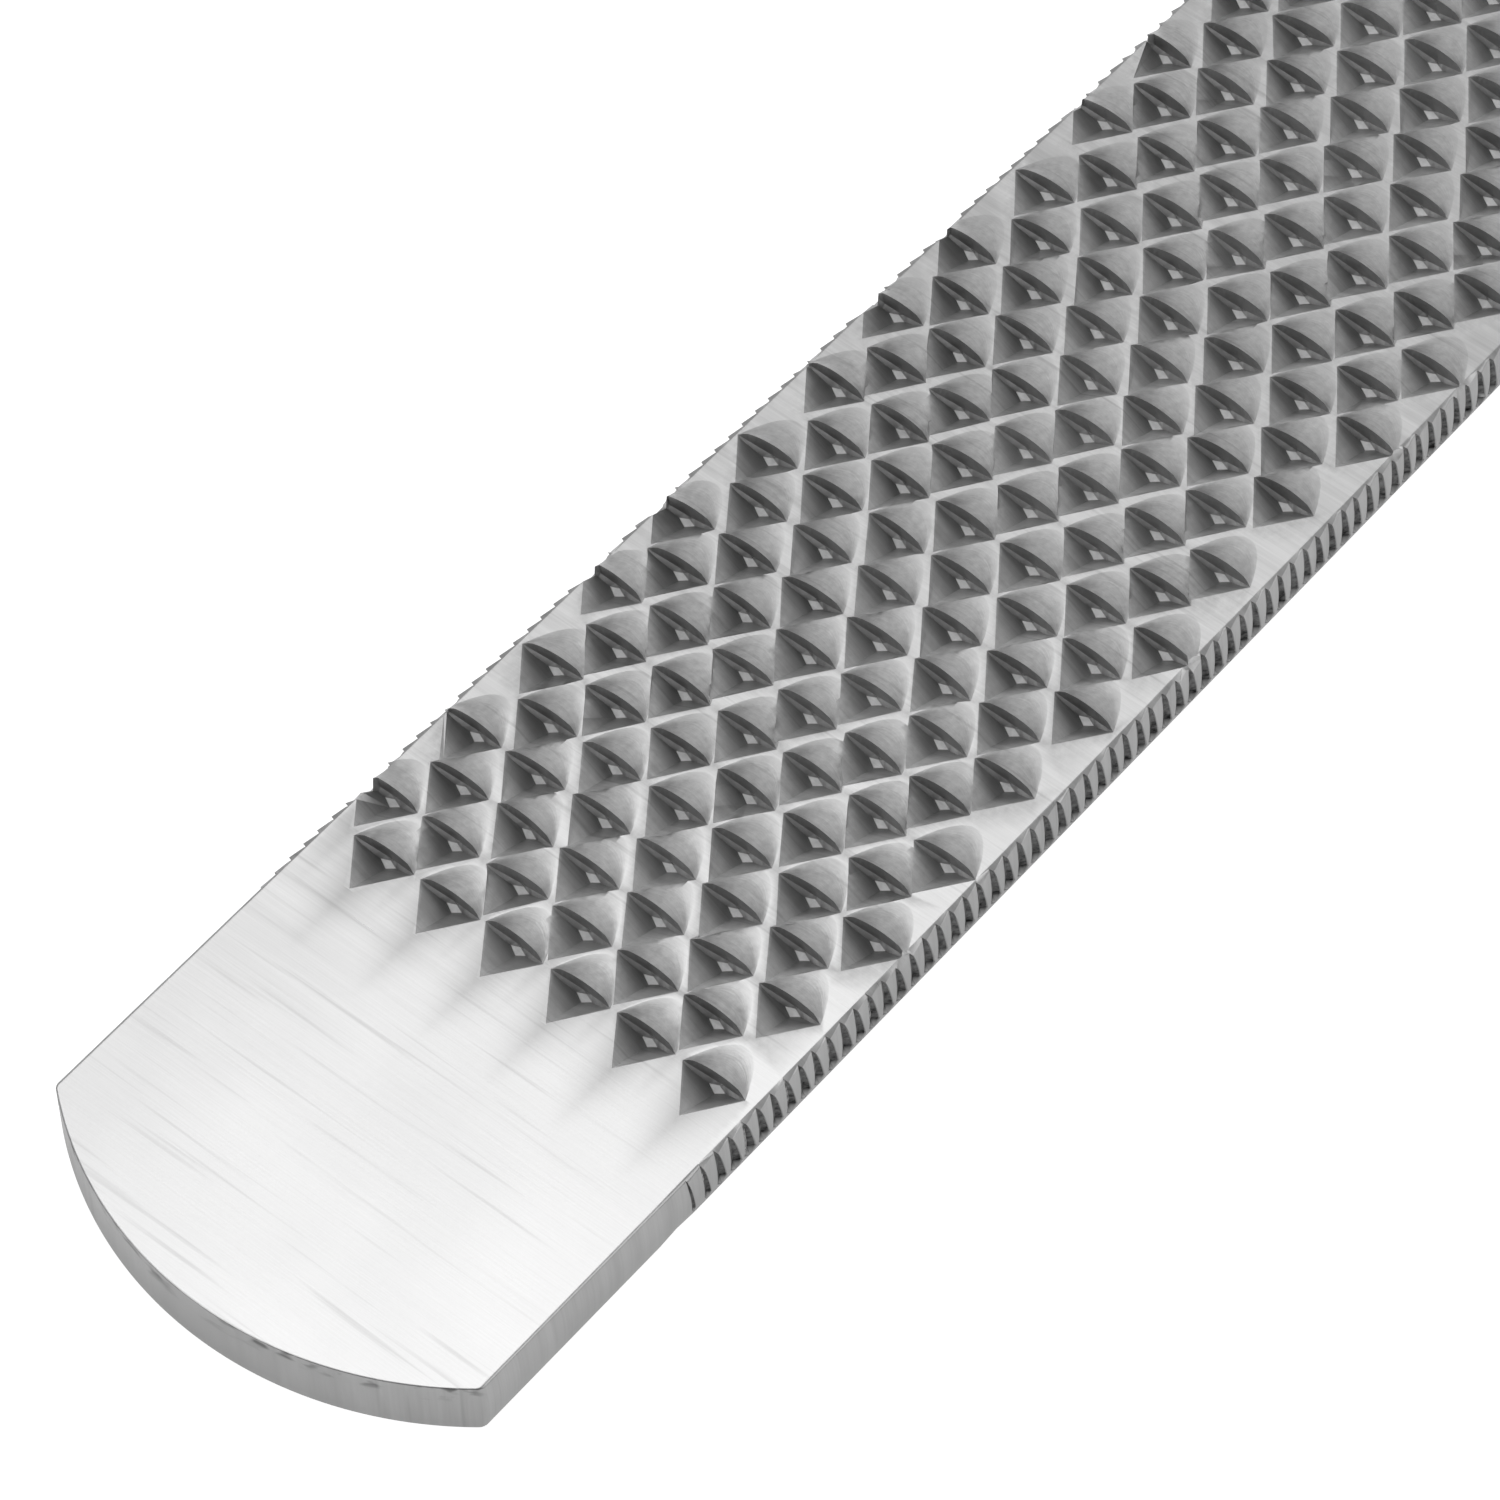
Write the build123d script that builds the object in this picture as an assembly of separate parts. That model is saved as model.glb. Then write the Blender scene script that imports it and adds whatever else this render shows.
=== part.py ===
from build123d import *
import math
import os

# Flat rasp with a wooden handle, lying along X.
# The tip points to -X and the handle to +X, +Z is up, and the origin is the middle of the whole tool.

# Blade
blade_length = 350.0  # tip to the heel, where the tang starts
blade_width = 44.0  # over the crowned sides
blade_thickness = 5.6
side_crown = 0.3  # how far each long side bulges at mid thickness
tip_radius = 34.1  # the end is a flat arc seen from above
heel_radius = 14.0  # round shoulders beside the tang

# Tang
tang_length = 66.0
tang_root_width = 15.0
tang_root_step = 0.3  # the tang is this much below each face of the blade
tang_end_width = 6.0
tang_end_thickness = 3.2
tang_root_blend = 6.0  # length of plain tang hidden inside the heel

# Rasp teeth on the upper face: a three-sided pit with a raised tooth behind it
row_start = 32.0  # from the two tip corners to the first row of crests
row_pitch = 4.54
row_end_margin = 44.0  # smooth steel left in front of the heel
teeth_per_row = 6
tooth_pitch = 6.73  # across the blade
teeth_offset = 0.5  # the rows sit a little nearer the +Y side
row_shift = 3.4  # every second row is moved sideways by this
row_drift = 0.86  # rows also wander sideways by this much
row_drift_period = 7.2  # in rows
row_drift_start = 2.8  # in rows
tooth_half_width = 3.05
pit_length = 4.1
pit_depth = 1.7
tooth_height = 0.95
tooth_back = 2.9
tooth_root = 0.4  # how far a tooth reaches down into the steel
tool_clearance = 0.1  # how far a cutting tool starts outside the steel

# Single-cut teeth along both long sides
gullet_start = 24.0  # from the two tip corners
gullet_pitch = 1.69
gullet_width = 0.8
gullet_depth = 0.5
gullet_lean = 8.0  # degrees, the top leans towards the tip
gullet_end_margin = 40.0

# Ferrule and its two brads
heel_gap = 4.0  # bare tang between heel and ferrule
ferrule_length = 22.0
ferrule_radius = 12.5
ferrule_wall = 1.0
ferrule_mouth_gap = 1.33  # clear of the tang's corners where it enters
ferrule_mouth_round = 0.7
ferrule_bead_height = 0.5
ferrule_bead_width = 2.4
ferrule_bead_inset = 4.5  # from either end of the ferrule
brad_radius = 0.9
brad_length = 6.0
brad_head_radius = 1.7
brad_head_height = 0.6

# Turned handle
handle_length = 112.0  # the part behind the ferrule
shoulder_step = 1.1  # how far the wood stands above the ferrule
waist_radius = 12.4
waist_place = 14.0  # from the shoulder
belly_radius = 15.8
belly_place = 66.0
butt_radius = 13.6
butt_dome = 7.0
hang_hole_radius = 3.0
hang_hole_inset = 18.0  # from the end of the butt

overall_length = blade_length + heel_gap + ferrule_length + handle_length
tip_x = -overall_length / 2
heel_x = tip_x + blade_length
ferrule_x = heel_x + heel_gap
shoulder_x = ferrule_x + ferrule_length
brad_x = ferrule_x + ferrule_length / 2
butt_x = shoulder_x + handle_length
half_thickness = blade_thickness / 2
tang_root_thickness = blade_thickness - 2 * tang_root_step
tang_taper = (tang_root_blend + heel_gap) / (tang_root_blend + tang_length)
mouth_tang_width = tang_root_width + (tang_end_width - tang_root_width) * tang_taper
mouth_tang_thickness = tang_root_thickness + (tang_end_thickness - tang_root_thickness) * tang_taper
ferrule_mouth_radius = math.hypot(mouth_tang_width, mouth_tang_thickness) / 2 + ferrule_mouth_gap
shoulder_radius = ferrule_radius + shoulder_step
face_half_width = blade_width / 2 - side_crown
tip_sagitta = tip_radius - math.sqrt(tip_radius ** 2 - (blade_width / 2) ** 2)
corner_x = tip_x + tip_sagitta


def solid_from_points(points, triangles):
    """A closed solid from corner points and the triples of them that bound it."""
    faces = [Face(Wire.make_polygon([points[i] for i in triple])) for triple in triangles]
    return Solid(Shell(faces))


def blade_plate():
    """The plain bar: crowned sides, arc-shaped tip and round heel shoulders."""
    section = make_face(
        [
            Line((-face_half_width, half_thickness), (face_half_width, half_thickness)),
            ThreePointArc(
                (face_half_width, half_thickness), (blade_width / 2, 0), (face_half_width, -half_thickness)
            ),
            Line((face_half_width, -half_thickness), (-face_half_width, -half_thickness)),
            ThreePointArc(
                (-face_half_width, -half_thickness), (-blade_width / 2, 0), (-face_half_width, half_thickness)
            ),
        ]
    )
    across = Plane(origin=(tip_x, 0, 0), x_dir=(0, 1, 0), z_dir=(1, 0, 0))
    bar = extrude(across * section, blade_length)
    half_width = blade_width / 2
    shoulder_x_start = heel_x - heel_radius
    shoulder_y = half_width - heel_radius
    outline = make_face(
        [
            ThreePointArc((corner_x, -half_width), (tip_x, 0), (corner_x, half_width)),
            Line((corner_x, half_width), (shoulder_x_start, half_width)),
            RadiusArc((shoulder_x_start, half_width), (heel_x, shoulder_y), heel_radius),
            Line((heel_x, shoulder_y), (heel_x, -shoulder_y)),
            RadiusArc((heel_x, -shoulder_y), (shoulder_x_start, -half_width), heel_radius),
            Line((shoulder_x_start, -half_width), (corner_x, -half_width)),
        ]
    )
    return bar & extrude(Pos(0, 0, -blade_thickness) * outline, 2 * blade_thickness)


def tang_solid():
    """The tapered tang, which also shapes its tight socket in the handle."""
    root = Plane(origin=(heel_x - tang_root_blend, 0, 0), x_dir=(0, 1, 0), z_dir=(1, 0, 0))
    end = Plane(origin=(heel_x + tang_length, 0, 0), x_dir=(0, 1, 0), z_dir=(1, 0, 0))
    root_face = root * Rectangle(tang_root_width, tang_root_thickness)
    end_face = end * Rectangle(tang_end_width, tang_end_thickness)
    return loft([root_face, end_face])


def tooth_places():
    """The middle of every crest, row by row, as (x, y)."""
    first_x = corner_x + row_start
    rows = int((heel_x - row_end_margin - first_x) / row_pitch) + 1
    places = []
    for row in range(rows):
        drift = row_drift * math.sin(2 * math.pi * (row - row_drift_start) / row_drift_period)
        side = row_shift / 2 if row % 2 else -row_shift / 2
        for column in range(teeth_per_row):
            y = teeth_offset + ((teeth_per_row - 1) / 2 - column) * tooth_pitch + side - drift
            places.append((first_x + row * row_pitch, y))
    return places


def pit(x, y):
    """The tool that cuts one pit, with its point down in the steel and its back wall upright."""
    grow = (pit_depth + tool_clearance) / pit_depth
    top = half_thickness + tool_clearance
    points = [
        (x, y + grow * tooth_half_width, top),
        (x, y - grow * tooth_half_width, top),
        (x - grow * pit_length, y, top),
        (x, y, half_thickness - pit_depth),
    ]
    return solid_from_points(points, [(0, 1, 2), (0, 1, 3), (1, 2, 3), (2, 0, 3)])


def raised_tooth(x, y):
    """The metal pushed up behind one pit, cut off where it would overhang a long side."""
    low = half_thickness - tooth_root
    points = [
        (x, y + tooth_half_width, low),
        (x, y - tooth_half_width, low),
        (x + tooth_back, y, low),
        (x, y, half_thickness + tooth_height),
    ]
    tooth = solid_from_points(points, [(0, 1, 2), (0, 1, 3), (1, 2, 3), (2, 0, 3)])
    if abs(y) + tooth_half_width > face_half_width:
        tooth = tooth & Pos(x, 0, 0) * Box(4 * tooth_back, 2 * face_half_width, 4 * blade_thickness)
    return tooth


def gullet(x, side):
    """The V-shaped tool for one cut across a long side, leaning towards the tip at the top."""
    outer = side * (blade_width / 2 + tool_clearance)
    inner = side * (blade_width / 2 - gullet_depth)
    half = gullet_width / 2 * (1 + tool_clearance / gullet_depth)
    points = []
    for up in (1, -1):
        z = up * (half_thickness + tool_clearance)
        lean = -z * math.tan(math.radians(gullet_lean))
        points += [(x + lean - half, outer, z), (x + lean + half, outer, z), (x + lean, inner, z)]
    ends = [(0, 1, 2), (3, 4, 5)]
    walls = [(0, 1, 4), (0, 4, 3), (1, 2, 5), (1, 5, 4), (2, 0, 3), (2, 3, 5)]
    return solid_from_points(points, ends + walls)


def rasp_blade():
    """Hardened steel blade in one piece with its tang."""
    first = corner_x + gullet_start
    count = int((heel_x - gullet_end_margin - first) / gullet_pitch) + 1
    gullets = [gullet(first + i * gullet_pitch, side) for i in range(count) for side in (1, -1)]
    places = tooth_places()
    blade = (blade_plate() + tang_solid()).cut(*gullets)
    blade = blade.cut(*[pit(x, y) for x, y in places])
    return blade.fuse(*[raised_tooth(x, y) for x, y in places])


def around_axis(outline):
    """A solid of revolution about the X axis, from a closed outline in the XY plane."""
    return revolve(make_face(outline), Axis.X, 360)


def brad_holes():
    """The tools for both brad holes, from outside the ferrule down to the brads' points."""
    depth = brad_length + 2 * ferrule_wall
    upper = Pos(brad_x, 0, ferrule_radius - brad_length + depth / 2) * Cylinder(brad_radius, depth)
    return [upper, mirror(upper, Plane.XY)]


def ferrule():
    """Pressed cup with two rolled beads, its mouth turned in over the end of the wood."""
    rear = ferrule_x + ferrule_length
    inner = ferrule_radius - ferrule_wall
    shell = around_axis(
        Polyline(
            (ferrule_x, ferrule_mouth_radius),
            (ferrule_x, ferrule_radius),
            (rear, ferrule_radius),
            (rear, inner),
            (ferrule_x + ferrule_wall, inner),
            (ferrule_x + ferrule_wall, ferrule_mouth_radius),
            close=True,
        )
    )
    front = shell.edges().filter_by(GeomType.CIRCLE).group_by(Axis.X)[0].sort_by(SortBy.RADIUS)[-1]
    shell = fillet(front, ferrule_mouth_round)
    for bead_x in (ferrule_x + ferrule_bead_inset, rear - ferrule_bead_inset):
        half = ferrule_bead_width / 2
        bead = around_axis(
            [
                ThreePointArc(
                    (bead_x - half, ferrule_radius),
                    (bead_x, ferrule_radius + ferrule_bead_height),
                    (bead_x + half, ferrule_radius),
                ),
                Polyline(
                    (bead_x + half, ferrule_radius),
                    (bead_x + half, ferrule_radius - ferrule_wall / 2),
                    (bead_x - half, ferrule_radius - ferrule_wall / 2),
                    (bead_x - half, ferrule_radius),
                ),
            ]
        )
        shell = shell + bead
    return shell.cut(*brad_holes())


def swell(start_x, start_radius, end_x, end_radius):
    """A smooth change of radius that is level at both ends."""
    middle_x = (start_x + end_x) / 2
    return Bezier(
        (start_x, start_radius), (middle_x, start_radius), (middle_x, end_radius), (end_x, end_radius)
    )


def handle():
    """Turned hardwood handle with a socket for the tang and a hole to hang it by."""
    neck = ferrule_radius - ferrule_wall
    waist_x = shoulder_x + waist_place
    belly_x = shoulder_x + belly_place
    dome_x = butt_x - butt_dome
    body = around_axis(
        [
            Polyline(
                (butt_x, 0),
                (ferrule_x + ferrule_wall, 0),
                (ferrule_x + ferrule_wall, neck),
                (shoulder_x, neck),
                (shoulder_x, shoulder_radius),
            ),
            Bezier(
                (shoulder_x, shoulder_radius),
                (shoulder_x + waist_place / 2, waist_radius),
                (waist_x, waist_radius),
            ),
            swell(waist_x, waist_radius, belly_x, belly_radius),
            swell(belly_x, belly_radius, dome_x, butt_radius),
            Bezier((dome_x, butt_radius), (butt_x, butt_radius), (butt_x, 0)),
        ]
    )
    hole_x = butt_x - hang_hole_inset
    hole = Pos(hole_x, 0, 0) * Cylinder(hang_hole_radius, 4 * belly_radius)
    return body.cut(tang_solid(), hole, *brad_holes())


def ferrule_brads():
    """Two round-head brads that pin the ferrule to the wood, above and below."""
    shank = Pos(brad_x, 0, ferrule_radius - brad_length / 2) * Cylinder(brad_radius, brad_length)
    sphere_radius = (brad_head_radius ** 2 + brad_head_height ** 2) / (2 * brad_head_height)
    head = Pos(brad_x, 0, ferrule_radius + brad_head_height - sphere_radius) * Sphere(sphere_radius)
    keep = Pos(brad_x, 0, ferrule_radius + brad_head_height) * Cylinder(
        brad_head_radius, 2 * brad_head_height
    )
    brad = shank + (head & keep)
    return Compound(children=[brad, mirror(brad, Plane.XY)])


os.makedirs("parts", exist_ok=True)
nodes = {
    "rasp_blade": rasp_blade(),
    "handle": handle(),
    "ferrule": ferrule(),
    "ferrule_brads": ferrule_brads(),
}
for name, shape in nodes.items():
    export_step(shape, f"parts/{name}.step")
    box = shape.bounding_box()
    print(name, round(shape.volume, 1), box.min, box.max)
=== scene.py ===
import math
import random

import bmesh
import bpy
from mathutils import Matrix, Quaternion, Vector
from mathutils.geometry import delaunay_2d_cdt


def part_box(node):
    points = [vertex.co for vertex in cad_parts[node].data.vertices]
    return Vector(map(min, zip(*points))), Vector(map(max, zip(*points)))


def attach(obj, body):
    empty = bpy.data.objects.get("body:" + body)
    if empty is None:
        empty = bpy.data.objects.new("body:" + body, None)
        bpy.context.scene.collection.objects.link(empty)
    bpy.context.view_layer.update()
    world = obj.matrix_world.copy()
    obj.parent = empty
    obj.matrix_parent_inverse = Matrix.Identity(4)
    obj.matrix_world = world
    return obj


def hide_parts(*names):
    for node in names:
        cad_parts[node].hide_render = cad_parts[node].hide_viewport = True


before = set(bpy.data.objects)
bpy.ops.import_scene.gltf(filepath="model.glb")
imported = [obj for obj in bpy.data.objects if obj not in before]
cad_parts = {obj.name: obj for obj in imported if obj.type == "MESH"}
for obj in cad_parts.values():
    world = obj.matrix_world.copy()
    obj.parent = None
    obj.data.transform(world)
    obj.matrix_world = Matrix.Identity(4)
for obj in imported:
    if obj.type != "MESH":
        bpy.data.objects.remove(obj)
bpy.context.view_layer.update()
mm = 0.001

bladeLow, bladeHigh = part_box("rasp_blade")
tipX = bladeLow.x / mm
faceZ = -bladeLow.z / mm
halfWidth = bladeHigh.y / mm

# the blade is worked out in millimetres, along X with its tip at -X
blade = {
    "length": 350.0,  # tip to the heel shoulders
    "tipRadius": 34.1,
    "cornerRound": 0.8,  # upright corners at both ends of the tip arc
    "sideArris": 0.24,  # rounding along the long edges
    "tipArris": 0.14,  # the tip is left nearly sharp
    "crown": 0.3,  # the long sides bulge this much
    "heelRadius": 14.0,
    "arcSteps": 80,
    "sideStep": 5.0,
    "arrisSteps": 6,
    "sharpAngle": 28,  # degrees, edges that turn more are shaded as sharp
    "sharpInPit": 9,
}
heelX = tipX + blade["length"]
cornerX = tipX + blade["tipRadius"] - math.sqrt(blade["tipRadius"] ** 2 - halfWidth ** 2)
sideHalf = halfWidth - blade["crown"]
lip = sideHalf - blade["sideArris"]  # where the flat of each face stops


def lerp(a, b, t):
    return a + (b - a) * t


def clamp(value, low=0.0, high=1.0):
    return min(max(value, low), high)


# marks carried by each point: pit, depth (painted shade in pits and cuts), mound, painted shade ahead of the
# first pits, painted shade on the sides and ends
plain = (0.0, 0.0, 0.0, 0.0, 0.0)
markNames = ("pit", "depth", "mound", "dipShade", "side")


def newSheet():
    return {"flat": [], "real": [], "marks": [], "lines": []}


def addPoint(sheet, u, v, place, mark=plain):
    sheet["flat"].append(Vector((u, v)))
    sheet["real"].append(place)
    sheet["marks"].append(mark)
    return len(sheet["flat"]) - 1


def addLine(sheet, indices):
    sheet["lines"] += [pair for pair in zip(indices[:-1], indices[1:]) if pair[0] != pair[1]]


def pointInside(p, polygon):
    hit = False
    j = len(polygon) - 1
    for i in range(len(polygon)):
        a, b = polygon[i], polygon[j]
        if (a.y > p.y) != (b.y > p.y) and p.x < (b.x - a.x) * (p.y - a.y) / (b.y - a.y) + a.x:
            hit = not hit
        j = i
    return hit


def triangulate(sheet, placeOf, keep):
    # new points made where lines cross get their place from placeOf
    flat, _, faces, madeFrom, _, _ = delaunay_2d_cdt(sheet["flat"], sheet["lines"], [], 0, 1e-5)
    places, marks = [], []
    for where, source in zip(flat, madeFrom):
        if source:
            places.append(sheet["real"][source[0]])
            marks.append(sheet["marks"][source[0]])
        else:
            place, mark = placeOf(where.x, where.y)
            places.append(place)
            marks.append(mark)
    kept = []
    for face in faces:
        middle = sum((flat[i] for i in face), Vector((0, 0))) / len(face)
        if keep(middle):
            kept.append(tuple(face))
    return flat, places, marks, kept


shell = {"index": {}, "places": [], "marks": [], "faces": []}


def shellPoint(place, mark):
    key = tuple(round(c, 4) for c in place)
    if key not in shell["index"]:
        shell["index"][key] = len(shell["places"])
        shell["places"].append(place)
        shell["marks"].append(mark)
    return shell["index"][key]


def addToShell(places, marks, faces):
    used = {i for face in faces for i in face}
    ids = {i: shellPoint(places[i], marks[i]) for i in sorted(used)}
    for face in faces:
        corners = [ids[i] for i in face]
        if len(set(corners)) == len(corners):
            shell["faces"].append(corners)


# rasp teeth: a three-sided pit with a small flat at the bottom, and a raised tooth behind it
rasp = {
    "start": 32.0,
    "rowPitch": 4.54,
    "endMargin": 44.0,
    "perRow": 6,
    "pitch": 6.73,
    "offset": 0.5,
    "shift": 3.4,
    "drift": 0.86,
    "driftPeriod": 7.2,
    "driftStart": 2.8,
    "halfWidth": 3.08,
    "pitLength": 4.15,
    "pitDepth": 1.95,
    "flatHalf": 0.8,
    "flatReach": 0.36,
    "flatTop": 0.66,
    "flatSlope": 0.64,  # rise of the flat towards the wall, per millimetre
    "flatBorder": 0.12,  # share of the flat over which it fades into the slopes
    "ledge": 0.27,  # narrow shelf along the foot of the wall
    "ledgeGap": 0.15,  # the shelf stops this far from the flat
    "wallDepth": 1.5,
    "undercut": 0.56,  # the foot of the wall lies this much further back per millimetre down
    "height": 0.94,
    "lean": 0.24,
    "edge": 0.12,  # thickness of the cutting edge
    "crestCurve": 0.85,
    "back": 3.9,
    "backCurve": 2.1,
    "steps": 7,
    "rings": 6,
    "wobble": 0.07,
    "seed": 11,
    # reach of the painted shade ahead of the first pits
    "dipShadeLength": 8.0,
    "dipShadeInto": 7.0,  # it also reaches in between the first rows
    "dipShadeStep": 0.55,
}


def raspTeeth():
    dice = random.Random(rasp["seed"])
    first = cornerX + rasp["start"]
    rows = int((heelX - rasp["endMargin"] - first) / rasp["rowPitch"]) + 1
    teeth = []
    for row in range(rows):
        drift = rasp["drift"] * math.sin(2 * math.pi * (row - rasp["driftStart"]) / rasp["driftPeriod"])
        side = rasp["shift"] / 2 if row % 2 else -rasp["shift"] / 2
        for column in range(rasp["perRow"]):
            y = rasp["offset"] + ((rasp["perRow"] - 1) / 2 - column) * rasp["pitch"] + side - drift
            teeth.append({
                "x": first + row * rasp["rowPitch"] + dice.gauss(0, rasp["wobble"] / 2),
                "y": y + dice.gauss(0, rasp["wobble"]),
                "w": rasp["halfWidth"] * dice.uniform(0.975, 1.01),
                "deep": dice.uniform(0.92, 1.04),
                "tall": dice.uniform(0.88, 1.0),
                "turn": dice.gauss(0, 0.03),
            })
    return teeth


teeth = raspTeeth()

# teeth sorted into square cells, so that only the near ones are looked through
cellSize = 5
teethByCell = {}
for tooth in teeth:
    for i in range(-1, 2):
        for j in range(-1, 2):
            cell = (int(tooth["x"] // cellSize) + i, int(tooth["y"] // cellSize) + j)
            teethByCell.setdefault(cell, []).append(tooth)


def teethNear(u, v):
    return teethByCell.get((int(u // cellSize), int(v // cellSize)), [])


def crestHeight(t):
    return max(0.0, 1 - t * t) ** rasp["crestCurve"]


def moundFall(r):
    return max(0.0, 1 - r) ** rasp["backCurve"]


# painted shade that grows with a pit's depth
def pitMark(z):
    return (1.0, clamp(-z / rasp["pitDepth"]), 0.0, 0.0, 0.0)


# the flat gets no painted shade, the walls and slopes full painted shade, the wall's foot a little
flatMark = (1.0, 0.0, 0.0, 0.0, 0.0)
paintedShadeMark = (1.0, 1.0, 0.0, 0.0, 0.0)
footShadeMark = (1.0, 0.15, 0.0, 0.0, 0.0)


def pitHeight(tooth, u, v):
    # height of a pit's slopes, or None outside the pit
    du, dv = u - tooth["x"], v - tooth["y"]
    t = abs(dv) / tooth["w"]
    if t >= 1 or not -rasp["pitLength"] * (1 - t) < du < -0.02:
        return None
    return -rasp["pitDepth"] * tooth["deep"] * (1 - t + du / rasp["pitLength"])


def moundHeight(tooth, u, v):
    du, dv = u - tooth["x"], v - tooth["y"]
    t = dv / tooth["w"]
    back = rasp["back"] * (1 - t * t)
    if abs(t) >= 1 or not 0 <= du < back:
        return 0.0, 0.0
    r = du / back
    return rasp["height"] * tooth["tall"] * crestHeight(t) * moundFall(r), 1 - r


def upperPlace(u, v, without=None):
    for tooth in teethNear(u, v):
        if tooth is not without:
            z = pitHeight(tooth, u, v)
            if z is not None:
                return (u, v, faceZ + z), pitMark(z)
    z, mound = 0.0, 0.0
    for tooth in teethNear(u, v):
        high, share = moundHeight(tooth, u, v)
        if high > z:
            z, mound = high, share
    return (u, v, faceZ + z), (0.0, 0.0, mound, 0.0, 0.0)


def inOtherPit(tooth, u, v):
    return any(other is not tooth and pitHeight(other, u, v) is not None for other in teethNear(u, v))


def addTooth(sheet, tooth):
    x, y, w, deep = tooth["x"], tooth["y"], tooth["w"], tooth["deep"]
    length = rasp["pitLength"]

    # u and v place a point on the flat sheet, and dx, dy and dz in the steel
    def put(u, v, dx, dy, dz, mark):
        if mark[0] == 0.0 and inOtherPit(tooth, x + u, y + v):
            place, mark = upperPlace(x + u, y + v, tooth)
            return addPoint(sheet, x + u, y + v, place, mark)
        return addPoint(sheet, x + u, y + v, (x + dx + tooth["turn"] * dy, y + dy, faceZ + dz), mark)

    def slopeDepth(across, along):
        return -rasp["pitDepth"] * deep * (1 - abs(across) / w + along / length)

    apex = put(-length, 0, -length, 0, 0, pitMark(0))
    ends = [put(0, s * w, 0, s * w, 0, pitMark(0)) for s in (1, -1)]
    flatHalf, reach = rasp["flatHalf"], rasp["flatReach"]
    low = slopeDepth(0, 0)
    corners = [
        (-0.5, 0, 0.0, 0, low),
        (-0.16, flatHalf, reach, flatHalf, slopeDepth(flatHalf, reach)),
        (-0.06, 0, rasp["flatTop"], 0, low + rasp["flatSlope"] * rasp["flatTop"]),
        (-0.16, -flatHalf, reach, -flatHalf, slopeDepth(flatHalf, reach)),
    ]
    outer = [put(*corner, paintedShadeMark) for corner in corners]
    addLine(sheet, outer + outer[:1])
    addLine(sheet, [ends[0], apex, ends[1]])
    addLine(sheet, [apex, outer[0]])
    # the flat itself is left out of the painted shade on the slopes round it
    centre = [sum(corner[i] for corner in corners) / 4 for i in range(5)]
    inner = []
    for corner in corners:
        nearer = [lerp(a, b, rasp["flatBorder"]) for a, b in zip(corner, centre)]
        inner.append(put(*nearer, flatMark))
    addLine(sheet, inner + inner[:1])
    ledges = {1: [ends[0]], -1: [ends[1]]}
    base, foot, under, crest = [ends[0]], [ends[0]], [ends[0]], [ends[0]]
    rings = [[ends[0]] for _ in range(rasp["rings"])]
    count = rasp["steps"]
    for k in range(1, 2 * count):
        t = 1 - k / count
        near = 1 - abs(t)
        drop = rasp["wallDepth"] * deep * near
        cut = rasp["undercut"] * drop
        if abs(t) * w > flatHalf + rasp["ledgeGap"]:
            along = cut - rasp["ledge"] * min(1.0, near * 5)
            u = -0.16 * min(1.0, near / 0.744) ** 0.6
            # painted shade on the shelf
            mark = (1.0, 0.8, 0.0, 0.0, 0.0)
            ledges[1 if t > 0 else -1].append(put(u, t * w, along, t * w, slopeDepth(t * w, along), mark))
        base.append(put(-0.012 * near, t * w, cut, t * w, -drop, footShadeMark))
        foot.append(put(-0.008 * near, t * w, cut, t * w, -drop + 0.05 * near, paintedShadeMark))
        lean = rasp["lean"] * min(1.0, near * 4)
        top = rasp["height"] * tooth["tall"] * crestHeight(t)
        under.append(put(0.002 * near, t * w, lean + 0.05 * near, t * w, top - rasp["edge"] * near, paintedShadeMark))
        crest.append(put(0.012 * near, t * w, lean, t * w, top, (0.0, 0.0, 1.0, 0.0, 0.0)))
        back = rasp["back"] * (1 - t * t)
        for j, ring in enumerate(rings):
            r = ((j + 1) / len(rings)) ** 1.3
            u = max(r * back, 0.02 * (j + 1) * near)
            mark = (0.0, 0.0, 1.0 - r, 0.0, 0.0)
            ring.append(put(u, t * w, lean * (1 - r) + r * back, t * w, top * moundFall(r), mark))
    for line in [base, foot, under, crest] + rings:
        line.append(ends[1])
        addLine(sheet, line)
    addLine(sheet, ledges[1] + [outer[1]])
    addLine(sheet, [ends[1]] + ledges[-1][:0:-1] + [outer[3]])


def dipShadeAt(u, v):
    # painted shade ahead of the first pits, standing in for a shallow dip there, most of all in line with
    # each one
    most = 0.0
    for tooth in teeth[:2 * rasp["perRow"]]:
        across = abs(v - tooth["y"]) / tooth["w"]
        ahead = tooth["x"] - rasp["pitLength"] * max(0.0, 1 - across) - u
        if across < 1.15 and ahead > 0:
            along = max(0.0, 1 - ahead / rasp["dipShadeLength"]) ** 1.4
            most = max(most, along * lerp(1.0, 0.45, clamp(across / 0.85) ** 0.8))
    return most


# points that carry the painted shade ahead of the first pits
def addDipShade(sheet):
    first = cornerX + rasp["start"] - rasp["pitLength"]
    step = rasp["dipShadeStep"]
    for i in range(int((rasp["dipShadeLength"] + rasp["dipShadeInto"]) / step)):
        for j in range(-int(lip / step), int(lip / step) + 1):
            u, v = first + rasp["dipShadeInto"] - i * step, j * step + 0.27 * (i % 2)
            if abs(v) < lip - 0.2 and upperPlace(u, v)[0][2] == faceZ:
                addPoint(sheet, u, v, (u, v, faceZ), (0.0, 0.0, 0.0, dipShadeAt(u, v), 0.0))


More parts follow.
